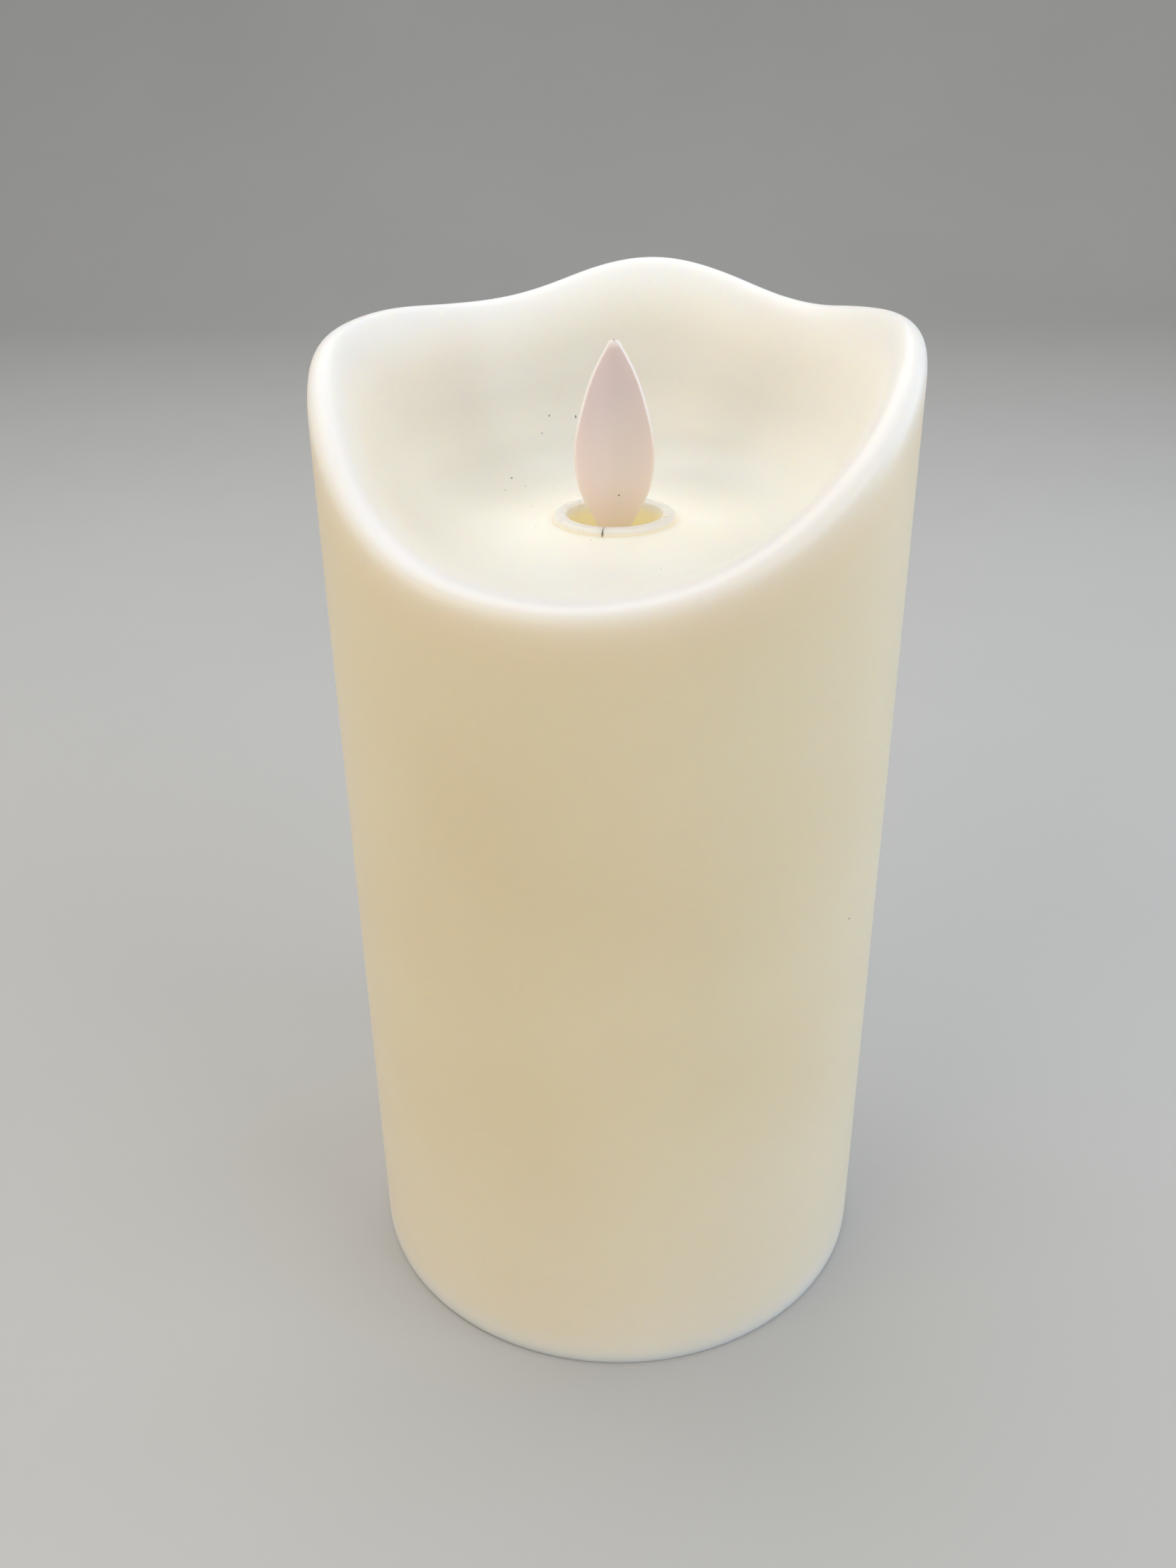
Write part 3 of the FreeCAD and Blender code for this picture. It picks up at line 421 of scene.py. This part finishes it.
def wax_tone(s):
    """Ivory wall, dish, the lip's painted highlight and a paler foot, part frost and part painted light
    from the floor, put together.
    """
    tone = s.ramp(s.noise(16.0, 3.0), [(0.30, (0.800, 0.690, 0.485)), (0.50, (0.822, 0.722, 0.522)),
                                       (0.72, (0.838, 0.748, 0.558))])
    inner = s.spread(s.radius(), 1.0, 0.0, 0.0365, 0.0385)
    in_dish = s.product(inner, s.spread(s.axis("Z"), 0.0, 1.0, 0.116, 0.118))
    tone = s.blend(in_dish, tone, wax_dish_tone(s))
    tone = s.blend(s.attribute("painted_highlight"), tone, wax_lip_highlight_tone(s))
    # Paler foot: part frost, part painted light bounced up from the floor.
    foot = s.levels(s.spread(s.axis("Z"), 0.0, 1.0, 0.0, 0.050),
                    [(0.0, 0.75), (0.12, 0.35), (0.3, 0.18), (1.0, 0.0)])
    frost_and_floor_light = s.mottled(90.0, (0.90, 0.82, 0.78), (0.93, 0.86, 0.82), detail=3.0, stops=(0.3, 0.7))
    return s.blend(foot, tone, frost_and_floor_light)


def wax_material():
    s = Shader("ivory_wax")
    dust = s.larger(s.specks(DISH_DUST, (1.0, 1.0, 0.0)), s.specks(BODY_DUST, (1.0, 0.0, 1.0)))
    s.drive(Base_Color=s.dusty(wax_tone(s), dust))
    # Painted glow: the thin wax round the ring emits a faint warm light, standing in for light from
    # inside and lifting the shade at the ring's foot.
    painted_glow_by_ring = s.levels(s.spread(s.radius(), 0.0, 1.0, 0.008, 0.024),
                         [(0.0, 0.30), (0.07, 0.17), (0.18, 0.08), (0.5, 0.03), (1.0, 0.0)])
    on_top = s.spread(s.axis("Z"), 0.0, 1.0, 0.1185, 0.1199)
    painted_glow_tone = s.mottled(50.0, (1.0, 0.75, 0.34), (1.0, 0.80, 0.40), stops=(0.3, 0.7))
    s.drive(Emission_Strength=s.product(painted_glow_by_ring, on_top), Emission_Color=painted_glow_tone)
    s.set(Subsurface_Scale=0.006, IOR=1.43, Specular_IOR_Level=0.5)
    s.set(Subsurface_Radius=(1.0, 0.78, 0.55), Subsurface_Anisotropy=0.3)
    swell = s.bump(s.noise(22.0, 2.0), 0.0004, 0.3)
    grain = s.bump(s.noise(900.0, 3.0), 0.00003, 0.5, swell)
    s.drive(Roughness=s.spread(s.noise(110.0, 5.0), 0.30, 0.42), Normal=grain)
    return s.material


def flame_material():
    """Milky plastic, pinkish and painted lighter low down, where the collar shades it, and greyer above;
    painted shade, darker and warmer, on its right half, and a painted highlight on its edges and tip.
    """
    s = Shader("flame_plastic")
    # Pinkish low down, painted lighter where the collar shades it; greyer above.
    low = s.mottled(70.0, (0.874, 0.776, 0.712), (0.894, 0.796, 0.735), detail=3.0, stops=(0.3, 0.7))
    grey = s.mottled(50.0, (0.700, 0.608, 0.612), (0.728, 0.634, 0.638), stops=(0.3, 0.7))
    up = s.spread(s.axis("Z"), 0.0, 1.0, 0.119, 0.137)
    edge_highlight = s.mottled(90.0, (0.898, 0.868, 0.855), (0.920, 0.895, 0.885), stops=(0.3, 0.7))
    # Painted shade: the right half, one facet of the ridge, is painted darker and warmer.
    half = s.ramp(s.spread(s.axis("X"), 0.0, 1.0, -0.0012, 0.0002),
                  [(0.0, (1.0, 1.0, 1.0)), (1.0, (0.972, 0.972, 0.935))])
    body = s.blend(s.spread(s.noise(60.0, 2.0), 0.85, 1.0), s.blend(up, low, grey), half, "MULTIPLY")
    # Painted highlight on the edges and the tip, from the mesh attribute.
    tone = s.blend(s.attribute("painted_highlight"), body, edge_highlight)
    s.drive(Base_Color=s.dusty(tone, s.specks(FLAME_DUST, (1.0, 0.0, 1.0))))
    s.set(Subsurface_Scale=0.0012, IOR=1.46, Specular_IOR_Level=0.5)
    s.set(Subsurface_Radius=(1.0, 0.85, 0.78))
    s.drive(Roughness=s.spread(s.noise(240.0, 4.0), 0.36, 0.50),
            Normal=s.bump(s.noise(700.0, 3.0), 0.00002, 0.5))
    return s.material


def collar_material():
    """Milky plastic; its skirt is painted yellow and glows, a painted light for warm light inside the
    ivory chimney, and the ring's lower sides glow faintly to lift their shade.
    """
    s = Shader("collar_plastic")
    rim = s.mottled(120.0, (0.87, 0.800, 0.705), (0.89, 0.830, 0.740), detail=3.0, stops=(0.3, 0.7))
    # Painted light: the skirt is painted yellow for warm light inside the chimney.
    skirt_painted_light = s.mottled(90.0, (0.74, 0.68, 0.40), (0.78, 0.72, 0.46), detail=3.0, stops=(0.3, 0.7))
    inside = s.spread(s.axis("Z"), 1.0, 0.0, 0.1188, 0.1204)
    s.drive(Base_Color=s.dusty(s.blend(inside, rim, skirt_painted_light), s.slit_dark_mask()))
    # Painted glow: the skirt and the ring's lower sides emit warm light, lifting their shade.
    glow = s.ramp(s.spread(s.axis("Z"), 0.0, 1.0, 0.114, 0.121),
                  [(0.0, (1.0, 0.80, 0.30)), (0.79, (1.0, 0.84, 0.52)), (0.86, (1.0, 0.93, 0.84))])
    lit = s.levels(s.spread(s.axis("Z"), 0.0, 1.0, 0.1188, 0.1208),
                   [(0.0, 0.28), (0.5, 0.19), (0.75, 0.07), (1.0, 0.02)])
    away_from_slit = s.spread(s.slit_dark_mask(), 1.0, 0.0, 0.0, 0.6)
    s.drive(Emission_Color=glow, Emission_Strength=s.product(lit, away_from_slit))
    s.set(Subsurface_Scale=0.0035, IOR=1.49, Specular_IOR_Level=0.5)
    s.set(Subsurface_Radius=(1.0, 0.9, 0.75))
    s.drive(Roughness=s.spread(s.noise(300.0, 4.0), 0.24, 0.36),
            Normal=s.bump(s.noise(800.0, 2.0), 0.00002, 0.4))
    return s.material


def plastic(name, dark, light, rough=(0.38, 0.52), soft=0.0):
    """Moulded plastic with a fine grain over faint flow marks; soft lets light in that far."""
    s = Shader(name)
    flow = s.bump(s.noise(30.0, 2.0), 0.0002, 0.2)
    s.drive(Base_Color=s.ramp(s.noise(45.0, 4.0), [(0.32, dark), (0.68, light)]),
            Roughness=s.spread(s.noise(160.0, 4.0), *rough),
            Normal=s.bump(s.noise(1400.0, 2.0), 0.00003, 0.6, flow))
    if soft:
        s.set(Subsurface_Weight=0.6, Subsurface_Scale=soft, Subsurface_Radius=(1.0, 0.8, 0.5))
    return s.material


def metal(name, dark, light, rough=(0.18, 0.34)):
    """Metal with drawing marks along X."""
    s = Shader(name)
    along = (60.0, 900.0, 900.0)
    s.set(Metallic=1.0)
    s.drive(Base_Color=s.ramp(s.noise(80.0, 4.0), [(0.3, dark), (0.7, light)]),
            Roughness=s.spread(s.noise(1.0, 4.0, along), *rough),
            Normal=s.bump(s.noise(1.0, 3.0, along), 0.00001, 0.5))
    return s.material


def winding_material():
    """Enamelled copper, its turns as fine bands along Z."""
    s = Shader("copper_winding")
    turns = s.tree.nodes.new("ShaderNodeTexWave")
    turns.bands_direction = "Z"
    turns.inputs["Scale"].default_value = 1200.0
    turns.inputs["Distortion"].default_value = 0.4
    s.link(s.coords.outputs["Object"], turns.inputs["Vector"])
    s.set(Metallic=1.0)
    s.drive(Base_Color=s.ramp(s.noise(90.0, 3.0), [(0.3, (0.50, 0.19, 0.08)), (0.7, (0.68, 0.30, 0.14))]),
            Roughness=s.spread(s.noise(300.0, 3.0), 0.22, 0.38),
            Normal=s.bump(turns.outputs["Fac"], 0.00008, 0.9))
    return s.material


def board_material(name, field, track):
    """Circuit board: tracks as a cell pattern, under a clouded lacquer."""
    s = Shader(name)
    weave = s.tree.nodes.new("ShaderNodeTexVoronoi")
    weave.inputs["Scale"].default_value = 260.0
    s.link(s.coords.outputs["Object"], weave.inputs["Vector"])
    tracks = s.ramp(weave.outputs["Distance"], [(0.30, field), (0.34, track)])
    cloud = s.ramp(s.noise(60.0, 3.0), [(0.3, field), (0.7, track)])
    s.drive(Base_Color=s.blend(s.spread(s.noise(12.0), 0.3, 0.7), tracks, cloud),
            Roughness=s.spread(s.noise(200.0, 3.0), 0.25, 0.40),
            Normal=s.bump(weave.outputs["Distance"], 0.00004, 0.4))
    return s.material


def cell_material(name, button_side):
    """Dark jacket with a brass coloured band at the button end, at +X or -X."""
    s = Shader(name)
    end = 0.028 * button_side
    bands = s.ramp(s.spread(s.axis("X"), 0.0, 1.0, -end, end),
                   [(0.10, (0.035, 0.040, 0.050)), (0.70, (0.045, 0.055, 0.070)),
                    (0.72, (0.55, 0.36, 0.10)), (0.97, (0.60, 0.40, 0.12))])
    worn = s.levels(s.noise(140.0, 4.0), [(0.35, 0.70), (0.65, 1.0)])
    s.set(Metallic=0.6)
    s.drive(Base_Color=s.blend(s.noise(9.0), bands, worn, "MULTIPLY"),
            Roughness=s.spread(s.noise(260.0, 3.0), 0.24, 0.36),
            Normal=s.bump(s.noise(500.0, 2.0), 0.00002, 0.4))
    return s.material


def floor_material():
    s = Shader("floor_paper")
    tone = s.ramp(s.noise(3.0, 3.0), [(0.3, (0.50, 0.50, 0.495)), (0.7, (0.53, 0.53, 0.525))])
    s.drive(Base_Color=tone, Roughness=s.spread(s.noise(40.0, 3.0), 0.65, 0.8),
            Normal=s.bump(s.noise(500.0, 3.0), 0.00005, 0.4))
    return s.material


LOOKS = {
    "wax": wax_material(),
    "collar_plastic": collar_material(),
    "flame_plastic": flame_material(),
    "ivory_abs": plastic("ivory_abs", (0.74, 0.64, 0.40), (0.80, 0.71, 0.49), soft=0.002),
    "white_abs": plastic("white_abs", (0.74, 0.74, 0.71), (0.82, 0.82, 0.80)),
    "steel": metal("bright_steel", (0.55, 0.55, 0.56), (0.70, 0.70, 0.71)),
    "magnet_plate": metal("nickel_plate", (0.66, 0.65, 0.62), (0.80, 0.79, 0.77), (0.08, 0.2)),
    "board_green": board_material("board_green", (0.010, 0.090, 0.035), (0.022, 0.150, 0.060)),
    "board_brown": board_material("board_brown", (0.330, 0.200, 0.090), (0.420, 0.270, 0.130)),
    "copper": winding_material(),
    "black_plastic": plastic("black_plastic", (0.012, 0.012, 0.013), (0.022, 0.022, 0.024)),
    "chip_black": plastic("chip_black", (0.014, 0.014, 0.016), (0.028, 0.028, 0.030), (0.5, 0.65)),
    "capacitor_sleeve": plastic("capacitor_sleeve", (0.010, 0.014, 0.040), (0.018, 0.024, 0.065),
                                (0.2, 0.3)),
    "led_amber": plastic("led_amber", (0.80, 0.55, 0.16), (0.90, 0.68, 0.26), (0.08, 0.16), soft=0.002),
    "tin": metal("tinned_metal", (0.60, 0.60, 0.58), (0.76, 0.76, 0.74), (0.25, 0.42)),
    "cell_jacket": cell_material("cell_jacket_front", 1),
    "wire_red": plastic("wire_red", (0.42, 0.02, 0.015), (0.55, 0.035, 0.025), (0.35, 0.5)),
    "wire_black": plastic("wire_black", (0.012, 0.012, 0.012), (0.022, 0.022, 0.022), (0.35, 0.5)),
}
for entry in frame["record"]["subparts"]:
    node = frame["nodes"][entry["node"]]
    node.data.materials.clear()
    node.data.materials.append(LOOKS[entry["material_slot"]])
# The rear cell lies the other way round.
frame["nodes"]["battery_rear"].data.materials[0] = cell_material("cell_jacket_rear", -1)


# ------------------------------------------------------------------ wax shell
def wax_shell():
    """One closed surface, swept round the axis from the two sections."""
    azimuths = [360.0 * k / AZIMUTH_STEPS for k in range(AZIMUTH_STEPS)]
    verts = []
    painted_highlight = []
    for radius, share, drop, pale in DISH_SECTION:
        for azimuth in azimuths:
            height = rim_height(azimuth)
            verts.append(on_circle(radius, azimuth, DISH_FLOOR + share * (height - DISH_FLOOR) - drop))
            # Painted highlight on the lip, reaching further down where the rim is tall.
            tall = max(0.0, (height - TALL_FROM) / TALL_SPAN)
            painted_highlight.append(min(1.0, pale + 2.0 * pale * (1.0 - pale) * tall))
    for radius, z in WALL_SECTION:
        verts += [on_circle(radius, azimuth, z) for azimuth in azimuths]
        painted_highlight += [0.0] * AZIMUTH_STEPS
    rings = len(DISH_SECTION) + len(WALL_SECTION)
    shell = mesh_piece("wax_body", verts, ring_faces(rings, AZIMUTH_STEPS, True), LOOKS["wax"], "candle")
    set_painted_highlight(shell, painted_highlight)
    rounding = shell.modifiers.new("smooth_surface", "SUBSURF")
    rounding.levels = 3
    rounding.render_levels = 3
    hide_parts("wax_shell")


# ------------------------------------------------------------------ flame
def leaf_section(half_width, thick, bevel):
    """Closed outline of the leaf at one height: two ridged faces with bevelled edges."""
    inside = half_width - 1.25 * bevel
    xs = [half_width - bevel * share for share in (0.12, 0.5, 0.88, 1.12)]
    xs += [inside * (1 - k / LEAF_FACE_STEPS) for k in range(LEAF_FACE_STEPS + 1)]
    xs += [-x for x in reversed(xs[:-1])]
    fall = math.hypot(half_width, LEAF_RIDGE_WIDTH) - LEAF_RIDGE_WIDTH

    def face(x):
        slope = (math.hypot(x, LEAF_RIDGE_WIDTH) - LEAF_RIDGE_WIDTH) / fall
        over = max(0.0, abs(x) - half_width + bevel)
        return thick * (1 - (1 - LEAF_SIDE) * slope) - 0.9 * over * thick / LEAF_FULL_THICK

    points = [(half_width, 0.0)] + [(x, face(x)) for x in xs]
    return points + [(-half_width, 0.0)] + [(x, -face(x)) for x in reversed(xs)]


def eye_cutter():
    """Rod along Y that cuts the wire's eye out of the tail."""
    rod = []
    for y in (-EYE_REACH, EYE_REACH):
        for k in range(EYE_POINTS):
            a = 2 * math.pi * k / EYE_POINTS
            rod.append(Vector((EYE_R * math.cos(a), y, PIVOT_Z + EYE_R * math.sin(a))) * MM)
    faces = [(k, (k + 1) % EYE_POINTS, EYE_POINTS + (k + 1) % EYE_POINTS, EYE_POINTS + k)
             for k in range(EYE_POINTS)]
    mesh = bpy.data.meshes.new("eye")
    mesh.from_pydata(rod, [], faces + end_faces(2, EYE_POINTS))
    return linked("eye", mesh)


def cut_out(piece, cutter):
    """Take the cutter out of the piece's mesh for good, and remove the cutter."""
    hole = piece.modifiers.new("eye", "BOOLEAN")
    hole.object = cutter
    hole.operation = "DIFFERENCE"
    bpy.context.view_layer.update()
    graph = bpy.context.evaluated_depsgraph_get()
    cut_mesh = bpy.data.meshes.new_from_object(piece.evaluated_get(graph))
    piece.modifiers.clear()
    piece.data = cut_mesh
    bpy.data.objects.remove(cutter)


def flame_leaf():
    """Leaf and tail, lofted from its sections, with the eye that hangs on the wire."""
    heights = TIP_HEIGHTS + LEAF_HEIGHTS + EYE_HEIGHTS + TAIL_HEIGHTS
    verts = []
    painted_highlight = []
    for z in heights:
        half_width = max(LEAF_LEAST_WIDTH, smooth_between(LEAF, z))
        thick = min(smooth_between(LEAF_THICK, z), half_width + 0.1)
        upper = share_above(z, BEVEL_FROM, BEVEL_SPAN)
        bevel = min(LEAF_BEVEL * (0.6 + 0.4 * upper), 0.45 * half_width)
        tip = share_above(z, TIP_HIGHLIGHT_FROM, TIP_HIGHLIGHT_SPAN)
        section = leaf_section(half_width, thick, bevel)
        verts += [(x, y, z) for x, y in section]
        # Painted highlight on the bevel of the upper leaf and at the tip.
        painted_highlight += [EDGE_HIGHLIGHT * (upper if abs(x) > half_width - 0.95 * bevel else tip)
                     for x, y in section]
    around = len(section)
    faces = ring_faces(len(heights), around, False) + end_faces(len(heights), around)
    leaf = mesh_piece("flame_leaf", verts, faces, LOOKS["flame_plastic"], "flame")
    set_painted_highlight(leaf, painted_highlight)
    cut_out(leaf, eye_cutter())
    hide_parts("flame_paddle")


# ------------------------------------------------------------------ collar
def rounded_section(corners):
    """Outline with each (radius, z, rounding) corner cut by a short curve."""
    points = []
    count = len(corners)
    for i, (r, z, rounding) in enumerate(corners):
        here = Vector((r, z))
        before = Vector(corners[i - 1][:2]) - here
        after = Vector(corners[(i + 1) % count][:2]) - here
        start = here + before.normalized() * rounding
        end = here + after.normalized() * rounding
        for t in CORNER_SHARES:
            points.append(start * (1 - t) ** 2 + here * 2 * t * (1 - t) + end * t * t)
    return points


def split_collar():
    """Ring with a skirt below, swept from one face of its slit round to the other."""
    section = rounded_section([
        (COLLAR_IN, SKIRT_Z, 0.12), (SKIRT_R, SKIRT_Z, 0.12), (SKIRT_R, COLLAR_UNDER, 0.05),
        (COLLAR_OUT, COLLAR_UNDER, 0.02), (COLLAR_OUT, COLLAR_TOP, 0.62),
        (COLLAR_IN, COLLAR_TOP, 0.3)])
    count = len(section)
    gap = math.degrees(SLIT_WIDTH / 2 / COLLAR_OUT)
    verts = []
    for k in range(COLLAR_STATIONS):
        azimuth = SLIT_AZIMUTH + gap + (360 - 2 * gap) * k / (COLLAR_STATIONS - 1)
        verts += [on_circle(p.x, azimuth, p.y) for p in section]
    faces = [tuple(reversed(face)) for face in ring_faces(COLLAR_STATIONS, count, False)]
    faces += end_faces(COLLAR_STATIONS, count)
    collar = mesh_piece("collar_ring", verts, faces, LOOKS["collar_plastic"], "candle")
    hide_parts("flame_collar")


# ------------------------------------------------------------------ stage, light, camera
def stage_floor():
    """Pale floor that bends up into a backdrop, far behind the candle."""
    rows = [(-FLOOR_HALF, 0.0), (FLOOR_BACK, 0.0)]
    for k in range(1, BEND_STEPS + 1):
        a = math.radians(90 * k / BEND_STEPS)
        rows.append((FLOOR_BACK + BEND_R * math.sin(a), BEND_R - BEND_R * math.cos(a)))
    rows.append((FLOOR_BACK + BEND_R, BACKDROP_TOP))
    verts = []
    for y, z in rows:
        verts += [(-FLOOR_HALF, y, z), (FLOOR_HALF, y, z)]
    faces = [(2 * i, 2 * i + 1, 2 * i + 3, 2 * i + 2) for i in range(len(rows) - 1)]
    mesh = bpy.data.meshes.new("floor")
    mesh.from_pydata(verts, [], faces)
    mesh.polygons.foreach_set("use_smooth", [True] * len(mesh.polygons))
    mesh.materials.append(floor_material())
    linked("floor", mesh)


def soft_light(name, place, size, power, colour):
    light = bpy.data.lights.new(name, "AREA")
    light.shape = "RECTANGLE"
    light.size, light.size_y = size
    light.energy = power
    light.color = colour
    lamp = linked(name, light)
    lamp.location = place
    lamp.rotation_euler = (Vector(LIGHT_AIM) - Vector(place)).to_track_quat("-Z", "Y").to_euler()


def camera():
    """Camera at its place, turned, tipped down and rolled by the angles named at the top."""
    turn, tip, roll = (math.radians(angle) for angle in (CAMERA_TURN, CAMERA_TIP, CAMERA_ROLL))
    ahead = Vector((math.sin(turn) * math.cos(tip), math.cos(turn) * math.cos(tip), -math.sin(tip)))
    level = Vector((math.cos(turn), -math.sin(turn), 0.0))
    above = level.cross(ahead)
    right = level * math.cos(roll) + above * math.sin(roll)
    up = above * math.cos(roll) - level * math.sin(roll)
    data = bpy.data.cameras.new("camera")
    data.lens = CAMERA_LENS
    data.sensor_width = CAMERA_SENSOR
    data.clip_start = CAMERA_NEAREST
    viewer = linked("camera", data)
    turned = Matrix((right, up, -ahead)).transposed().to_4x4()
    viewer.matrix_world = Matrix.Translation(Vector(CAMERA_PLACE)) @ turned
    bpy.context.scene.camera = viewer


def sky():
    """Even, dim light from all round."""
    world = bpy.data.worlds.new("world")
    bpy.context.scene.world = world
    world.use_nodes = True
    background = world.node_tree.nodes["Background"]
    background.inputs["Color"].default_value = SKY_COLOUR
    background.inputs["Strength"].default_value = SKY_STRENGTH


wax_shell()
flame_leaf()
split_collar()
stage_floor()
for light in LIGHTS:
    soft_light(*light)
camera()
sky()
bpy.context.scene.view_settings.view_transform = "Standard"
